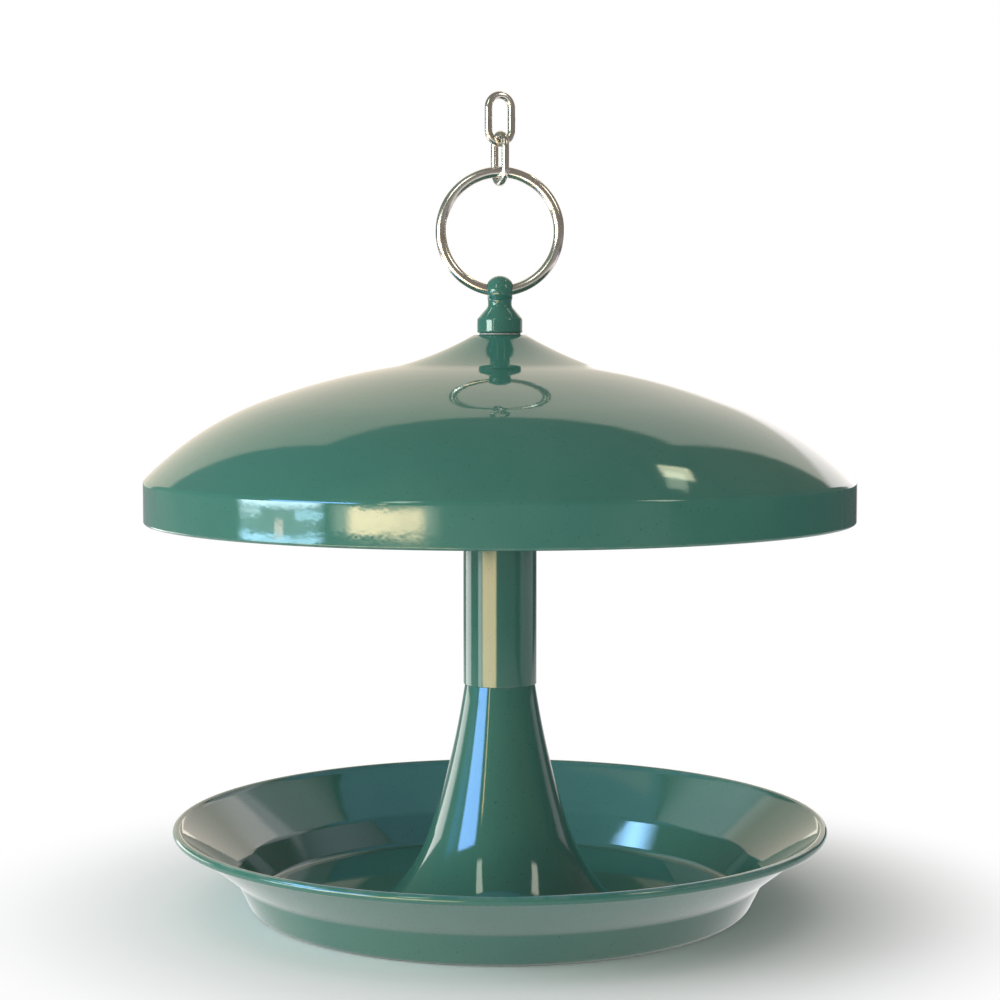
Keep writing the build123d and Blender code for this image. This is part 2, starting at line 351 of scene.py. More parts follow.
def arc_points(centre, radius, start, end):
    """Points of an arc in the plane of distance from the column and height, between two angles in degrees."""
    finest = math.degrees(2 * math.acos(1 - arc_flatness / radius))
    count = max(2, math.ceil(abs(end - start) / min(finest, widest_arc_step)))
    angles = [math.radians(start + (end - start) * i / count) for i in range(count + 1)]
    return [(centre[0] + radius * math.cos(a), centre[1] + radius * math.sin(a)) for a in angles]


def rounded(corners, bends):
    """A line through the corners, with each inner corner rounded to its bend radius."""
    line = [corners[0]]
    for before, corner, after, bend in zip(corners, corners[1:], corners[2:], bends):
        corner = Vector(corner)
        into = (corner - Vector(before)).normalized()
        out = (Vector(after) - corner).normalized()
        turn = into.x * out.y - into.y * out.x
        half = into.angle(out) / 2
        side = math.copysign(1, turn)
        centre = corner - into * bend * math.tan(half) + Vector((-into.y, into.x)) * bend * side
        normal = Vector((into.y, -into.x)) * side
        start = math.degrees(math.atan2(normal.y, normal.x))
        line += arc_points(centre, bend, start, start + side * math.degrees(2 * half))
    return line + [corners[-1]]


def shifted(line, distance):
    """The line moved sideways, to the left of the way that it runs."""
    moved = []
    for i, point in enumerate(line):
        before = Vector(line[max(i - 1, 0)])
        after = Vector(line[min(i + 1, len(line) - 1)])
        along = (after - before).normalized()
        moved.append((point[0] - along.y * distance, point[1] + along.x * distance))
    return moved


def drawn(name, line):
    """A bare line of edges, drawn point by point in the plane of distance from the column and height."""
    bpy.ops.object.select_all(action="DESELECT")
    bpy.ops.mesh.primitive_plane_add(size=mm)
    piece = bpy.context.object
    piece.name = name
    bpy.ops.object.mode_set(mode="EDIT")
    bpy.ops.mesh.select_mode(type="VERT")
    bpy.ops.mesh.select_all(action="SELECT")
    bpy.ops.mesh.merge(type="CENTER")
    bpy.ops.transform.translate(value=(line[0][0], 0, line[0][1]))
    for (r0, z0), (r1, z1) in zip(line, line[1:]):
        bpy.ops.mesh.extrude_vertices_move(TRANSFORM_OT_translate={"value": (r1 - r0, 0, z1 - z0)})
    bpy.ops.object.mode_set(mode="OBJECT")
    return piece


def spun(name, line):
    """A shell of revolution: the line is drawn and spun once round the column."""
    piece = drawn(name, line)
    bpy.ops.object.mode_set(mode="EDIT")
    bpy.ops.mesh.select_all(action="SELECT")
    bpy.ops.mesh.spin(steps=spin_steps, angle=2 * math.pi, center=(0, 0, 0), axis=(0, 0, 1))
    bpy.ops.mesh.select_all(action="SELECT")
    bpy.ops.mesh.remove_doubles(threshold=merge_distance)
    bpy.ops.mesh.normals_make_consistent(inside=False)
    bpy.ops.object.mode_set(mode="OBJECT")
    return piece


def picked(piece):
    """Makes the piece the only selected object and the active one."""
    bpy.ops.object.select_all(action="DESELECT")
    piece.select_set(True)
    bpy.context.view_layer.objects.active = piece


def modified(piece, kind, **settings):
    """Adds a modifier to the piece with these settings and applies it."""
    picked(piece)
    bpy.ops.object.modifier_add(type=kind)
    modifier = piece.modifiers[-1]
    for setting, value in settings.items():
        setattr(modifier, setting, value)
    bpy.ops.object.modifier_apply(modifier=modifier.name)


def sheet_metal(piece, thickness):
    """Gives a spun shell its sheet thickness, half to each side."""
    modified(piece, "SOLIDIFY", thickness=thickness, offset=0, use_even_offset=True, use_quality_normals=True)


def finished(piece, material, body, slot, *nodes):
    """Smooth faces with crisp edges, a material, and the body and CAD nodes that the piece stands for."""
    picked(piece)
    bpy.ops.object.shade_smooth_by_angle(angle=smooth_angle)
    modified(piece, "WEIGHTED_NORMAL", keep_sharp=True)
    piece.data.materials.clear()
    piece.data.materials.append(material)
    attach(piece, body)
    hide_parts(*nodes)


def noise(tree, vector, scale, detail):
    """The output of a noise texture."""
    node = tree.nodes.new("ShaderNodeTexNoise")
    node.inputs["Scale"].default_value = scale
    node.inputs["Detail"].default_value = detail
    tree.links.new(vector, node.inputs["Vector"])
    return node.outputs["Fac"]


def patches(tree, vector, scale, detail, start, end, low=0.0, high=1.0):
    """The output of a noise texture that steps smoothly from low to high between two of its levels."""
    return ramped(tree, noise(tree, vector, scale, detail), start, end, low, high)


def bumped(tree, height, depth, under=None):
    """The output of a bump of that depth in metres, over another bump if one is given."""
    node = tree.nodes.new("ShaderNodeBump")
    node.inputs["Strength"].default_value = 1
    node.inputs["Distance"].default_value = depth
    tree.links.new(height, node.inputs["Height"])
    if under:
        tree.links.new(under, node.inputs["Normal"])
    return node.outputs["Normal"]


enamel_green = (0.050, 0.163, 0.122, 1)
enamel_deep = (0.040, 0.150, 0.115, 1)
enamel_speck = (0.030, 0.105, 0.085, 1)
enamel_thin = (0.105, 0.190, 0.160, 1)
thin_core = 0.3
thin_strength = 0.6
ripple_depth = 0.22 * mm
tool_mark_scale = 260
tool_mark_depth = 0.008 * mm
peel_depth = 0.006 * mm


def green_enamel(name, edge_height, edge_band):
    """Fired enamel: glossy bluish green over spun sheet, with a faint orange peel, broad ripples from the
    spinning, a few specks, hazy patches, and a paler line where it runs thin over an edge at that height."""
    material, tree, shader = coating(name, {"IOR": 1.5})
    place = tree.nodes.new("ShaderNodeTexCoord").outputs["Object"]
    axes = tree.nodes.new("ShaderNodeSeparateXYZ")
    tree.links.new(place, axes.inputs["Vector"])
    tool_marks = tree.nodes.new("ShaderNodeTexNoise")
    tool_marks.noise_dimensions = "1D"
    tool_marks.inputs["Scale"].default_value = tool_mark_scale
    tree.links.new(distance_from_column(tree, place), tool_marks.inputs["W"])
    clouds = patches(tree, place, scale=22, detail=3, start=0.35, end=0.65)
    specks = patches(tree, place, scale=1500, detail=0, start=0.76, end=0.80)
    worn = patches(tree, place, scale=160, detail=4, start=0.42, end=0.62)
    off_edge = calculated(tree, "ABSOLUTE", calculated(tree, "SUBTRACT", axes.outputs["Z"], edge_height))
    edge = ramped(tree, off_edge, edge_band, thin_core * edge_band)
    thin = calculated(tree, "MULTIPLY", calculated(tree, "MULTIPLY", edge, worn), thin_strength)
    colour = colour_mix(tree, clouds, enamel_green, enamel_deep)
    colour = colour_mix(tree, specks, colour, enamel_speck)
    colour = colour_mix(tree, thin, colour, enamel_thin)
    tree.links.new(colour, shader.inputs["Base Color"])
    haze = patches(tree, place, scale=38, detail=3, start=0.3, end=0.7, low=0.035, high=0.075)
    tree.links.new(haze, shader.inputs["Roughness"])
    normal = bumped(tree, noise(tree, place, scale=11, detail=1), ripple_depth)
    normal = bumped(tree, tool_marks.outputs["Fac"], tool_mark_depth, normal)
    normal = bumped(tree, noise(tree, place, scale=420, detail=1), peel_depth, normal)
    tree.links.new(normal, shader.inputs["Normal"])
    return material


def collected(name, *pieces):
    """A collection of pieces, for a lamp to act on."""
    collection = bpy.data.collections.new(name)
    for piece in pieces:
        collection.objects.link(piece)
    return collection


bead_centre = Vector((tray_high.x - rim_bead, tray_high.z - rim_bead))
crease = Vector((crease_radius, crease_height))
lip_run = (bead_centre - crease).normalized()
roll_radius = rim_bead - tray_sheet / 2
roll_start = math.degrees(math.atan2(lip_run.x, -lip_run.y))
underside = rounded(
    [
        (rod_hole, boss_height),
        (boss_top_radius, boss_height),
        (boss_foot_radius, 0),
        (crease_radius - crease_height / math.tan(wall_slope), 0),
        tuple(crease),
        tuple(bead_centre - lip_run * rim_bead),
    ],
    [boss_bend, boss_bend, floor_bend, crease_bend],
)
tray_line = shifted(underside, tray_sheet / 2)
tray_line += arc_points(bead_centre, roll_radius, roll_start, roll_start - rim_roll)
spun_tray = spun("spun_tray", tray_line)
sheet_metal(spun_tray, tray_sheet)
finished(spun_tray, green_enamel("tray_enamel", tray_high.z, rim_wear), "stand", "green_enamel", "tray")
tray_only = collected("tray_only", spun_tray)
for panel in (
    # name, degrees as above, metres away, bottom, top, width, brightness, colour, share that fades
    ("high_blue", 14.0, 0.92, 0.42, 0.84, 0.50, 30.0, (0.30, 0.60, 1.0), 0.5),
    ("right_back_light", 226.0, 0.90, 0.50, 1.25, 0.90, 0.8, (0.84, 0.95, 1.0), 0.3),
    ("left_back_light", 314.0, 0.90, 0.50, 1.25, 0.90, 1.3, (0.75, 0.97, 1.0), 0.3),
    ("right_side_light", 170.0, 0.90, 0.10, 0.85, 1.80, 1.2, (0.70, 0.78, 1.0), 0.45),
):
    gloss_only(soft_lamp(*panel), tray_only)


# Pedestal: a trumpet foot drawn from 1 mm tube, enamelled like the tray, that stands on the tray's floor.
# Its top is swaged down to a neck, which leaves the small shoulder that the column tube sits on.
# Its gloss alone shows a weak blue light on the left.
_, foot_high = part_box("pedestal")
tube_low, tube_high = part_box("column_tube")
floor_top = tray_sheet
foot_sheet = 1.0 * mm
foot_radius = foot_high.x
shoulder_height = tube_low.z
neck_top = foot_high.z
neck_radius = 12.55 * mm
shoulder_radius = 12.95 * mm
shoulder_drop = 0.7 * mm
shoulder_wear = 0.8 * mm
waist_radius = 26.2 * mm
waist_height = floor_top + 25.2 * mm
flare_hollow = 1.25 * mm
foot_overrun = 1.5 * mm


def bowed(start, end, bow):
    """Points of an arc that bows to the left of the way from start to end, and the way it runs at its end."""
    chord = Vector(end) - Vector(start)
    radius = (chord.length_squared / 4 + bow * bow) / (2 * abs(bow))
    half = math.asin(chord.length / 2 / radius)
    side = math.copysign(1, bow)
    left = Vector((-chord.y, chord.x)).normalized()
    centre = (Vector(start) + Vector(end)) / 2 + left * (bow - side * radius)
    begin = math.degrees(math.atan2(start[1] - centre.y, start[0] - centre.x))
    heading = math.atan2(chord.y, chord.x) - side * half
    points = arc_points(centre, radius, begin, begin - side * math.degrees(2 * half))
    return points, Vector((math.cos(heading), math.sin(heading)))


def tangent_arc(start, heading, end):
    """Centre, radius and both angles of the arc that leaves start on a heading and comes to end."""
    left = Vector((-heading.y, heading.x))
    way = Vector(end) - Vector(start)
    offset = way.length_squared / (2 * way.dot(left))
    centre = Vector(start) + left * offset
    side = math.copysign(1, offset)
    begin = math.atan2(start[1] - centre.y, start[0] - centre.x)
    turn = 2 * heading.angle(way)
    return centre, abs(offset), math.degrees(begin), math.degrees(begin + side * turn)


waist = (waist_radius, waist_height)
upper_flare, waist_heading = bowed((shoulder_radius, shoulder_height), waist, -flare_hollow)
lower_flare = arc_points(*tangent_arc(waist, waist_heading, (foot_radius, floor_top)))
foot_outside = [(neck_radius, neck_top), (neck_radius, shoulder_height + shoulder_drop)]
foot_outside += upper_flare + lower_flare[1:]
last_run = (Vector(foot_outside[-1]) - Vector(foot_outside[-2])).normalized()
foot_outside.append(tuple(Vector(foot_outside[-1]) + last_run * foot_overrun))
trumpet_foot = spun("trumpet_foot", shifted(foot_outside, -foot_sheet / 2))
sheet_metal(trumpet_foot, foot_sheet)
bpy.ops.object.mode_set(mode="EDIT")
bpy.ops.mesh.select_all(action="SELECT")
bpy.ops.mesh.bisect(plane_co=(0, 0, floor_top), plane_no=(0, 0, 1), use_fill=True, clear_inner=True)
bpy.ops.object.mode_set(mode="OBJECT")
foot_enamel = green_enamel("foot_enamel", shoulder_height, shoulder_wear)
finished(trumpet_foot, foot_enamel, "stand", "green_enamel", "pedestal")
foot_only = collected("foot_only", trumpet_foot)
blue_side = soft_lamp(
    "blue_side", turn=6.0, away=0.93, low=0.10, high=0.45, width=0.50, brightness=2.2,
    colour=(0.05, 0.35, 1.0), edge=0.45,
)
gloss_only(blue_side, foot_only)


# Column tube: a plain length of thin tube, cut square and enamelled.
# It slips over the pedestal's neck and stands on the shoulder, where its cut end shows as a small step.
tube_wall = 0.8 * mm
tube_edge = 0.18 * mm
tube_wear = 1.0 * mm
tube_middle = tube_high.x - tube_wall / 2
sharp_angle = math.radians(40)


def edges_broken(piece, width, segments):
    """Takes the sharpness off the piece's edges with a small bevel."""
    modified(piece, "BEVEL", width=width, segments=segments, limit_method="ANGLE", angle_limit=sharp_angle)


column = spun("column", [(tube_middle, tube_low.z), (tube_middle, tube_high.z)])
sheet_metal(column, tube_wall)
edges_broken(column, tube_edge, segments=3)
column_enamel = green_enamel("column_enamel", tube_low.z, tube_wear)
finished(column, column_enamel, "stand", "green_enamel", "column_tube")


# Column cap: a turned steel saddle, zinc plated, in the top of the tube.
# Its spigot centres the tie rod, its flange closes the tube, and its hub carries the roof's peak.
cap_low, cap_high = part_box("column_cap")
spigot_radius = 12.55 * mm
hub_radius = 8.2 * mm
flange_top = cap_high.z - 3.1 * mm
turned_edge = 0.25 * mm


def turned(name, line, edge):
    """A solid of revolution with its edges broken: the closed line is spun and its sharp edges bevelled."""
    piece = spun(name, line + [line[0]])
    edges_broken(piece, edge, segments=2)
    return piece


zinc_light = (0.66, 0.66, 0.63, 1)
zinc_dark = (0.50, 0.51, 0.51, 1)
lathe_ring_scale = 900
lathe_ring_waver = 0.6
lathe_ring_depth = 0.01 * mm


def zinc_plate(name):
    """Zinc plating on turned steel: a dull bright grey with cloudy patches and fine rings from the lathe."""
    material, tree, shader = coating(name, {"Metallic": 1})
    place = tree.nodes.new("ShaderNodeTexCoord").outputs["Object"]
    clouds = patches(tree, place, scale=300, detail=4, start=0.35, end=0.65)
    tree.links.new(colour_mix(tree, clouds, zinc_light, zinc_dark), shader.inputs["Base Color"])
    dullness = patches(tree, place, scale=700, detail=3, start=0.3, end=0.7, low=0.24, high=0.42)
    tree.links.new(dullness, shader.inputs["Roughness"])
    rings = tree.nodes.new("ShaderNodeTexWave")
    rings.wave_type = "RINGS"
    rings.rings_direction = "Z"
    rings.inputs["Scale"].default_value = lathe_ring_scale
    rings.inputs["Distortion"].default_value = lathe_ring_waver
    tree.links.new(place, rings.inputs["Vector"])
    tree.links.new(bumped(tree, rings.outputs["Fac"], lathe_ring_depth), shader.inputs["Normal"])
    return material


column_saddle = turned(
    "column_saddle",
    [
        (rod_hole, cap_low.z),
        (spigot_radius, cap_low.z),
        (spigot_radius, tube_high.z),
        (cap_high.x, tube_high.z),
        (cap_high.x, flange_top),
        (hub_radius, flange_top),
        (hub_radius, cap_high.z),
        (rod_hole, cap_high.z),
    ],
    turned_edge,
)
finished(column_saddle, zinc_plate("saddle_zinc"), "stand", "plated_steel", "column_cap")


# Tie rod: a zinc-plated steel rod with rolled threads at both ends.
# It clamps the stack together, from the nut under the tray to the finial on top.
rod_low, rod_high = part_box("tie_rod")
nut_low, nut_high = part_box("base_nut")
rod_radius = rod_high.x
shank_radius = 2.62 * mm
rod_point = 0.5 * mm
lower_thread_end = nut_high.z + 6.0 * mm
upper_thread_start = rod_high.z - 14.0 * mm
thread_root = 2.40 * mm
thread_pitch = 1.0 * mm
thread_flank = 0.40 * thread_pitch
thread_crest = 0.12 * thread_pitch
thread_lead = 2.31 * thread_pitch
thread_steps = 28
cut_tolerance = 0.0001 * mm


def screw_thread(name, low, high):
    """A length of thread: one tooth is drawn, screwed up the rod, and cut off square at both ends."""
    start = low - thread_lead
    tooth = [
        (thread_root, start),
        (rod_radius, start + thread_flank),
        (rod_radius, start + thread_flank + thread_crest),
        (thread_root, start + 2 * thread_flank + thread_crest),
        (thread_root, start + thread_pitch),
    ]
    piece = drawn(name, tooth)
    turns = math.ceil((high - low + 2 * thread_lead) / thread_pitch)
    modified(
        piece, "SCREW", screw_offset=thread_pitch, iterations=turns, steps=thread_steps,
        render_steps=thread_steps, use_merge_vertices=True, merge_threshold=merge_distance,
    )
    bpy.ops.object.mode_set(mode="EDIT")
    bpy.ops.mesh.select_all(action="SELECT")
    bpy.ops.mesh.remove_doubles(threshold=merge_distance)
    bpy.ops.mesh.bisect(
        plane_co=(0, 0, low), plane_no=(0, 0, 1), use_fill=True, clear_inner=True, threshold=cut_tolerance,
    )
    bpy.ops.mesh.select_all(action="SELECT")
    bpy.ops.mesh.bisect(
        plane_co=(0, 0, high), plane_no=(0, 0, 1), use_fill=True, clear_outer=True, threshold=cut_tolerance,
    )
    bpy.ops.mesh.select_all(action="SELECT")
    bpy.ops.mesh.normals_make_consistent(inside=False)
    bpy.ops.object.mode_set(mode="OBJECT")
    return piece


tie_bolt = spun(
    "tie_bolt",
    [
        (0, rod_low.z),
        (thread_root - rod_point / 2, rod_low.z),
        (thread_root, rod_low.z + rod_point / 2),
        (thread_root, lower_thread_end),
        (shank_radius, lower_thread_end + rod_point),
        (shank_radius, upper_thread_start - rod_point),
        (thread_root, upper_thread_start),
        (thread_root, rod_high.z - rod_point / 2),
        (thread_root - rod_point / 2, rod_high.z),
        (0, rod_high.z),
    ],
)
lower_thread = screw_thread("lower_thread", rod_low.z + rod_point, lower_thread_end)
upper_thread = screw_thread("upper_thread", upper_thread_start, rod_high.z - rod_point)
picked(tie_bolt)
lower_thread.select_set(True)
upper_thread.select_set(True)
bpy.ops.object.join()
finished(tie_bolt, zinc_plate("bolt_zinc"), "stand", "plated_steel", "tie_rod")


# Fasteners under the tray: a flat washer against the raised centre, a split spring washer and a hexagon nut.
# All three are zinc-plated steel and lie above the tray's foot, so that it stands flat.
washer_low, washer_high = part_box("base_washer")
spring_low, spring_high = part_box("base_spring_washer")
washer_edge = 0.2 * mm
spring_gap = math.radians(12)
spring_steps = 90
spring_width = spring_high.y - rod_hole
spring_height = spring_high.z - spring_low.z
nut_chamfer = 0.7 * mm
nut_bore = 3.05 * mm
nut_corner = nut_high.x
nut_height = nut_high.z - nut_low.z
nut_turn = math.radians(30)

flat_washer = turned(
    "flat_washer",
    [
        (rod_hole, washer_low.z),
        (washer_high.x, washer_low.z),
        (washer_high.x, washer_high.z),
        (rod_hole, washer_high.z),
    ],
    washer_edge,
)
finished(flat_washer, zinc_plate("washer_zinc"), "stand", "plated_steel", "base_washer")

bpy.ops.object.select_all(action="DESELECT")
bpy.ops.mesh.primitive_plane_add(size=1)
split_washer = bpy.context.object
split_washer.name = "split_washer"
bpy.ops.object.mode_set(mode="EDIT")
bpy.ops.mesh.select_all(action="SELECT")
bpy.ops.transform.rotate(value=math.pi / 2, orient_axis="X", center_override=(0, 0, 0))
bpy.ops.transform.resize(value=(spring_width, 1, spring_height), center_override=(0, 0, 0))
bpy.ops.transform.translate(value=(rod_hole + spring_width / 2, 0, spring_low.z + spring_height / 2))
bpy.ops.transform.rotate(value=-spring_gap / 2, orient_axis="Z", center_override=(0, 0, 0))
bpy.ops.mesh.spin(steps=spring_steps, angle=2 * math.pi - spring_gap, center=(0, 0, 0), axis=(0, 0, 1))
bpy.ops.mesh.select_all(action="SELECT")
bpy.ops.mesh.normals_make_consistent(inside=False)
bpy.ops.object.mode_set(mode="OBJECT")
edges_broken(split_washer, washer_edge, segments=2)
finished(split_washer, zinc_plate("spring_zinc"), "stand", "plated_steel", "base_spring_washer")


def tooled(piece, tool, operation):
    """Cuts the piece with another solid, which is then deleted."""
    modified(piece, "BOOLEAN", object=tool, operation=operation, solver="EXACT")
    picked(tool)
    bpy.ops.object.delete()


bpy.ops.object.select_all(action="DESELECT")
bpy.ops.mesh.primitive_cylinder_add(
    vertices=6, radius=nut_corner, depth=nut_height, location=(0, 0, (nut_low.z + nut_high.z) / 2),
    rotation=(0, 0, nut_turn),
)
hexagon_nut = bpy.context.object
hexagon_nut.name = "hexagon_nut"
bpy.ops.object.transform_apply(location=True, rotation=True, scale=True)
nut_turning = spun(
    "nut_turning",
    [
        (nut_bore + nut_chamfer, nut_low.z),
        (nut_corner - nut_chamfer, nut_low.z),
        (nut_corner + nut_chamfer, nut_low.z + nut_chamfer),
        (nut_corner + nut_chamfer, nut_high.z - nut_chamfer),
        (nut_corner - nut_chamfer, nut_high.z),
        (nut_bore + nut_chamfer, nut_high.z),
        (nut_bore, nut_high.z - nut_chamfer),
        (nut_bore, nut_low.z + nut_chamfer),
        (nut_bore + nut_chamfer, nut_low.z),
    ],
)
tooled(hexagon_nut, nut_turning, "INTERSECT")
finished(hexagon_nut, zinc_plate("nut_zinc"), "stand", "plated_steel", "base_nut")


# Roof: a dome spun from 0.9 mm sheet, with a hollow-sided peak in the middle for the finial.
# Two arcs make the dome, a tight bend turns it down into a straight skirt, and the edge is hemmed inwards.
roof_low, roof_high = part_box("roof")
roof_sheet = 0.9 * mm
peak_flat_radius = 9.6 * mm
peak_foot_radius = 37.5 * mm
peak_foot = roof_high.z - 11.4 * mm
peak_hollow = 1.0 * mm
crown_radius = 249.0 * mm
crown_edge = 86.5 * mm
dome_rise = 44.2 * mm
skirt_corner = 2.4 * mm
hem_height = 4.5 * mm
hem_fold = 0.5 * mm
hem_wear = 1.4 * mm

crown_centre = peak_foot - math.sqrt(crown_radius**2 - peak_foot_radius**2)
skirt_top = crown_centre + crown_radius - dome_rise
crown_start = math.degrees(math.acos(peak_foot_radius / crown_radius))
crown_end = math.degrees(math.acos(crown_edge / crown_radius))
crown = arc_points((0, crown_centre), crown_radius, crown_start, crown_end)
crown_heading = Vector((math.sin(math.radians(crown_end)), -math.cos(math.radians(crown_end))))
skirt_start = (roof_high.x, skirt_top)
haunch_centre, haunch_radius, haunch_start, _ = tangent_arc(crown[-1], crown_heading, skirt_start)
corner_out = roof_high.x - skirt_corner - haunch_centre.x
corner_up = math.sqrt((haunch_radius - skirt_corner) ** 2 - corner_out**2)
corner_centre = haunch_centre + Vector((corner_out, corner_up))
corner_start = math.degrees(math.atan2(corner_up, corner_out))
peak_side, _ = bowed((peak_flat_radius, roof_high.z), (peak_foot_radius, peak_foot), -peak_hollow)
roof_outside = [(rod_hole, roof_high.z)] + peak_side + crown[1:]
roof_outside += arc_points(haunch_centre, haunch_radius, haunch_start, corner_start)[1:]
roof_outside += arc_points(corner_centre, skirt_corner, corner_start, 0)[1:]
roof_outside.append((roof_high.x, skirt_top - hem_height))
fold_centre = (roof_high.x - roof_sheet / 2 - hem_fold, roof_low.z + hem_fold + roof_sheet / 2)
roof_line = shifted(roof_outside, -roof_sheet / 2)
roof_line += arc_points(fold_centre, hem_fold, 0, -180)
roof_line.append((fold_centre[0] - hem_fold, roof_low.z + hem_height))
dome_roof = spun("dome_roof", roof_line)
sheet_metal(dome_roof, roof_sheet)
finished(dome_roof, green_enamel("roof_enamel", roof_low.z, hem_wear), "stand", "green_enamel", "roof")


# Light from the dome's hollow: the tray and the trumpet mirror it a little bluer than the enamel over them.
# A disc of weak light lies across the skirt's edge and shows in their gloss alone.
hollow_gap = 0.5 * mm
hollow_width = 1.96 * roof_high.x
hollow_area = math.pi * (hollow_width / 2) ** 2
hollow_brightness = 1.1
hollow_blue = (0.34, 0.64, 1.0)
bpy.ops.object.select_all(action="DESELECT")
bpy.ops.object.light_add(type="AREA", location=(0, 0, roof_low.z - hollow_gap))
hollow_light = bpy.context.object
hollow_light.name = "hollow_light"
hollow_light.data.shape = "DISK"
hollow_light.data.size = hollow_width
hollow_light.data.energy = hollow_brightness * math.pi * hollow_area
hollow_light.data.color = hollow_blue
gloss_only(hollow_light, collected("below_roof", spun_tray, trumpet_foot))


# Roof seal: a moulded rubber washer squeezed between the finial and the peak, to keep rain off the rod.
# Its edge bulges a little where it is clamped.
seal_low, seal_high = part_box("roof_seal")
seal_round = (seal_high.z - seal_low.z) / 2
seal_middle = seal_low.z + seal_round
# The rubber is painted pale grey, much lighter than dark rubber, so that the seal's edge reads as a light
# line under the finial: a painted highlight. Dust patches darken it.
rubber_pale_as_highlight = (0.42, 0.44, 0.40, 1)
rubber_soiled = (0.26, 0.28, 0.25, 1)
rubber_grain = 0.02 * mm

rubber, tree, shader = coating("seal_rubber", {})
place = tree.nodes.new("ShaderNodeTexCoord").outputs["Object"]
dust = patches(tree, place, scale=500, detail=4, start=0.4, end=0.7)
tree.links.new(colour_mix(tree, dust, rubber_pale_as_highlight, rubber_soiled), shader.inputs["Base Color"])
dullness = patches(tree, place, scale=900, detail=3, start=0.3, end=0.7, low=0.55, high=0.75)
tree.links.new(dullness, shader.inputs["Roughness"])
grain = bumped(tree, noise(tree, place, scale=2500, detail=2), rubber_grain)
tree.links.new(grain, shader.inputs["Normal"])
seal_line = [(rod_hole, seal_low.z)]
seal_line += arc_points((seal_high.x - seal_round, seal_middle), seal_round, -90, 90)
seal_line += [(rod_hole, seal_high.z), (rod_hole, seal_low.z)]
rain_seal = spun("rain_seal", seal_line)
finished(rain_seal, rubber, "stand", "seal_rubber", "roof_seal")


# Finial: a knob turned from bar and enamelled, with a collar, a cone, a neck and a ball.
# It is tapped from below for the tie rod, and its ball is drilled across with rounded edges for the ring.
finial_low, finial_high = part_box("finial")
collar_height = 5.1 * mm
collar_edge = 0.8 * mm
collar_shoulder = 1.4 * mm
collar_wear = 0.8 * mm
finial_neck = 4.4 * mm
finial_neck_height = 9.7 * mm
finial_neck_bend = 2.0 * mm
ball_radius = 5.5 * mm
tapped_depth = 8.5 * mm
eye_radius = 2.98 * mm
eye_rounding = 0.15 * mm
eye_overrun = 1.0 * mm

eye_height = finial_high.z - ball_radius
ball_start = -math.degrees(math.acos(finial_neck / ball_radius))
ball_foot = eye_height + ball_radius * math.sin(math.radians(ball_start))
finial_line = rounded(
    [
        (nut_bore, finial_low.z),
        (finial_high.x, finial_low.z),
        (finial_high.x, finial_low.z + collar_height),
        (finial_neck, finial_low.z + finial_neck_height),
        (finial_neck, ball_foot),
    ],
    [collar_edge, collar_shoulder, finial_neck_bend],
)
finial_line += arc_points((0, eye_height), ball_radius, ball_start, 90)[1:]
finial_line += [
    (0, finial_low.z + tapped_depth),
    (nut_bore, finial_low.z + tapped_depth),
    (nut_bore, finial_low.z),
]
turned_finial = spun("turned_finial", finial_line)
mouth_radius = eye_radius + eye_rounding
mouth_out = math.sqrt(ball_radius**2 - mouth_radius**2)
mouth = arc_points((mouth_radius, mouth_out - eye_rounding), eye_rounding, 180, 90)
drill_end = ball_radius + eye_overrun
drill_line = [(0, -drill_end), (mouth_radius, -drill_end)]
drill_line += [(r, -z) for r, z in reversed(mouth)]
drill_line += mouth + [(mouth_radius, drill_end), (0, drill_end)]
eye_drill = spun("eye_drill", drill_line)
bpy.ops.object.mode_set(mode="EDIT")
bpy.ops.mesh.select_all(action="SELECT")
bpy.ops.transform.rotate(value=math.pi / 2, orient_axis="Y", center_override=(0, 0, 0))
bpy.ops.transform.translate(value=(0, 0, eye_height))
bpy.ops.object.mode_set(mode="OBJECT")
tooled(turned_finial, eye_drill, "DIFFERENCE")
finial_enamel = green_enamel("finial_enamel", finial_low.z, collar_wear)
finished(turned_finial, finial_enamel, "finial", "green_enamel", "finial")


# Hanging ring: 4 mm steel wire bent round, butt welded and nickel plated.
# It stands in the finial's eye and swings over to either side.
ring_low, ring_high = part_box("hanging_ring")
ring_wire = ring_high.y - ring_low.y
ring_bend = ring_high.x - ring_wire / 2
ring_centre = (ring_low.z + ring_high.z) / 2
ring_weld = math.radians(60)
wire_sides = 28
fewest_bend_steps = 24
bend_step = 0.35
straight_steps = 6
grain_length = 12
weld_reach = 0.62
weld_swell = 0.07 * mm


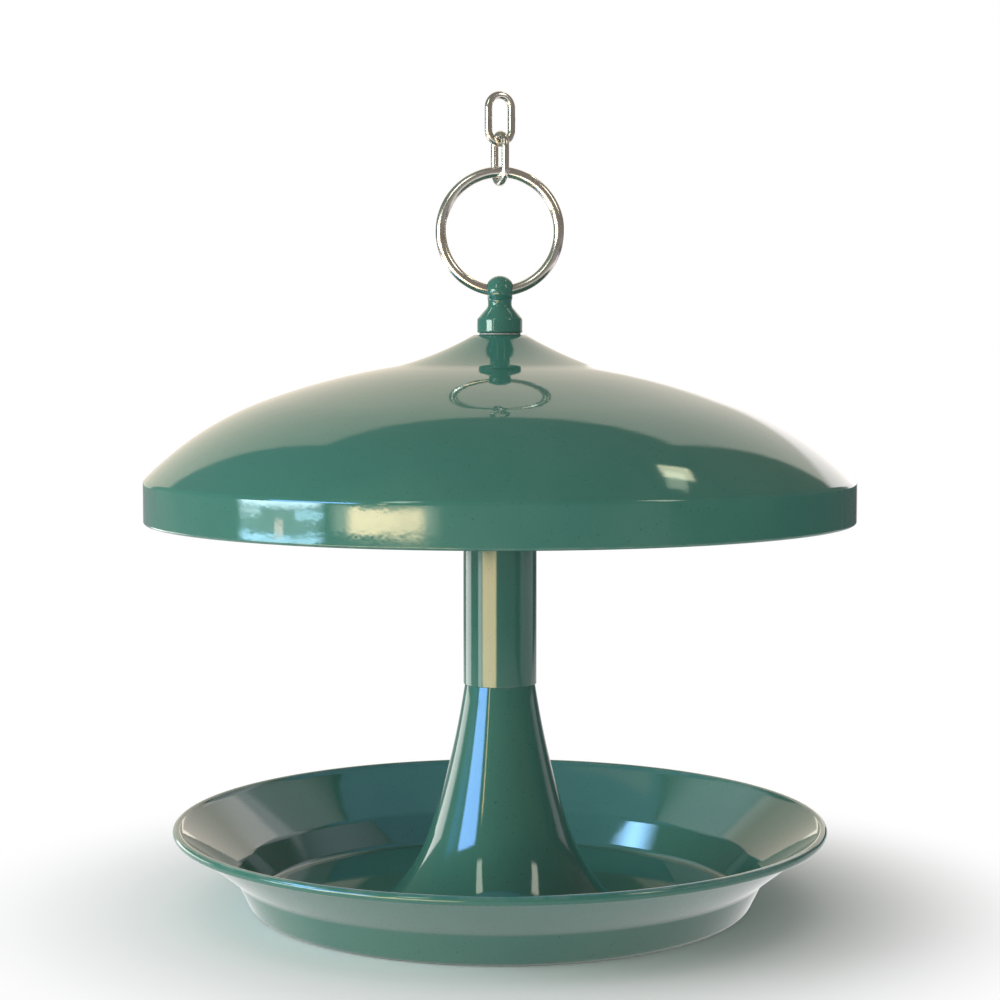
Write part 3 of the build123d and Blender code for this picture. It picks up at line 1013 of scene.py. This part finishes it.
def wire_loop(name, wire, bend, straight, low_centre, turn, weld):
    """A closed upright loop of round wire: a circle spun round the lower bend, run up, spun round the
    upper bend and run down again, swollen a little at its weld, then turned about the column."""
    bpy.ops.object.select_all(action="DESELECT")
    bpy.ops.mesh.primitive_circle_add(vertices=wire_sides, radius=wire / 2, location=(bend, 0, low_centre))
    piece = bpy.context.object
    piece.name = name
    bpy.ops.object.transform_apply(location=True, rotation=True, scale=True)
    steps = max(fewest_bend_steps, round(math.pi * bend / (bend_step * wire)))
    bpy.ops.object.mode_set(mode="EDIT")
    bpy.ops.mesh.select_all(action="SELECT")
    for centre, climb in ((low_centre, straight), (low_centre + straight, -straight)):
        bpy.ops.mesh.spin(steps=steps, angle=math.pi, center=(0, 0, centre), axis=(0, -1, 0))
        for _ in range(straight_steps if straight else 0):
            bpy.ops.mesh.extrude_edges_move(TRANSFORM_OT_translate={"value": (0, 0, climb / straight_steps)})
    bpy.ops.mesh.select_all(action="SELECT")
    bpy.ops.mesh.remove_doubles(threshold=merge_distance)
    bpy.ops.mesh.normals_make_consistent(inside=False)
    bpy.ops.mesh.select_all(action="DESELECT")
    bpy.ops.object.mode_set(mode="OBJECT")
    grain = piece.data.attributes.new("wire_grain", "FLOAT_VECTOR", "POINT")
    for vertex, mark in zip(piece.data.vertices, grain.data):
        x, y, z = vertex.co
        above = z - min(max(z, low_centre), low_centre + straight)
        out = math.hypot(x, above) - bend
        round_wire = math.atan2(y, out)
        along = math.atan2(above, x) * bend + (z - above)
        mark.vector = (math.cos(round_wire), math.sin(round_wire), along / (grain_length * wire))
        vertex.select = (Vector(vertex.co) - Vector(weld)).length < weld_reach * wire
    bpy.ops.object.mode_set(mode="EDIT")
    bpy.ops.transform.shrink_fatten(value=weld_swell)
    bpy.ops.object.mode_set(mode="OBJECT")
    piece.rotation_euler.z = turn
    bpy.ops.object.transform_apply(location=True, rotation=True, scale=True)
    return piece


nickel_bright = (0.76, 0.72, 0.66, 1)
nickel_brown = (0.50, 0.44, 0.36, 1)
drawn_line_depth = 0.006 * mm
pit_depth = 0.002 * mm


def nickel_plate(name):
    """Nickel plating on drawn wire: bright and slightly warm, with fine lines along the wire and
    tarnished patches."""
    material, tree, shader = coating(name, {"Metallic": 1})
    place = tree.nodes.new("ShaderNodeTexCoord").outputs["Object"]
    grain = tree.nodes.new("ShaderNodeAttribute")
    grain.attribute_name = "wire_grain"
    lines = noise(tree, grain.outputs["Vector"], scale=9, detail=3)
    tarnish = patches(tree, place, scale=140, detail=4, start=0.45, end=0.75, low=0.0, high=0.55)
    tree.links.new(colour_mix(tree, tarnish, nickel_bright, nickel_brown), shader.inputs["Base Color"])
    dullness = ramped(tree, lines, start=0.3, end=0.7, low=0.14, high=0.24)
    tree.links.new(dullness, shader.inputs["Roughness"])
    normal = bumped(tree, lines, drawn_line_depth)
    normal = bumped(tree, noise(tree, place, scale=1100, detail=2), pit_depth, normal)
    tree.links.new(normal, shader.inputs["Normal"])
    return material


weld = (ring_bend * math.cos(ring_weld), 0, ring_centre + ring_bend * math.sin(ring_weld))
wire_ring = wire_loop("wire_ring", ring_wire, ring_bend, 0, ring_centre, 0, weld)
finished(wire_ring, nickel_plate("ring_nickel"), "ring", "bright_steel", "hanging_ring")


# Chain links: two oval links of welded 2.8 mm wire, nickel plated like the ring.
# Each hangs square to the one below it, and the whole chain has turned a little on the ring.
link_wire = 2.8 * mm
link_bend = 4.61 * mm
chain_turn = math.radians(25)
links = []
for name, node, body, turn in (
    ("first_link", "chain_link_lower", "lower_link", chain_turn + math.pi / 2),
    ("second_link", "chain_link_upper", "upper_link", chain_turn),
):
    link_low, link_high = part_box(node)
    link_straight = link_high.z - link_low.z - link_wire - 2 * link_bend
    low_centre = link_low.z + link_wire / 2 + link_bend
    weld = (link_bend, 0, low_centre + link_straight / 2)
    link = wire_loop(name, link_wire, link_bend, link_straight, low_centre, turn, weld)
    finished(link, nickel_plate(name + "_nickel"), body, "bright_steel", node)
    links.append(link)


# Pale light on the top pieces: the finial, the ring and the links mirror it in the blue panel's place.
# The blue panel shows on the pieces below them only.
top_only = collected("top_only", turned_finial, wire_ring, *links)
all_but_top = collected("all_but_top", turned_finial, wire_ring, *links)
for member in all_but_top.collection_objects:
    member.light_linking.link_state = "EXCLUDE"
bpy.data.objects["blue_panel"].light_linking.receiver_collection = all_but_top
pale_panel = soft_lamp(
    "pale_panel", turn=34.0, away=0.92, low=0.155, high=0.42, width=0.56, brightness=16.0,
    colour=(0.88, 1.0, 0.93),
)
gloss_only(pale_panel, top_only)
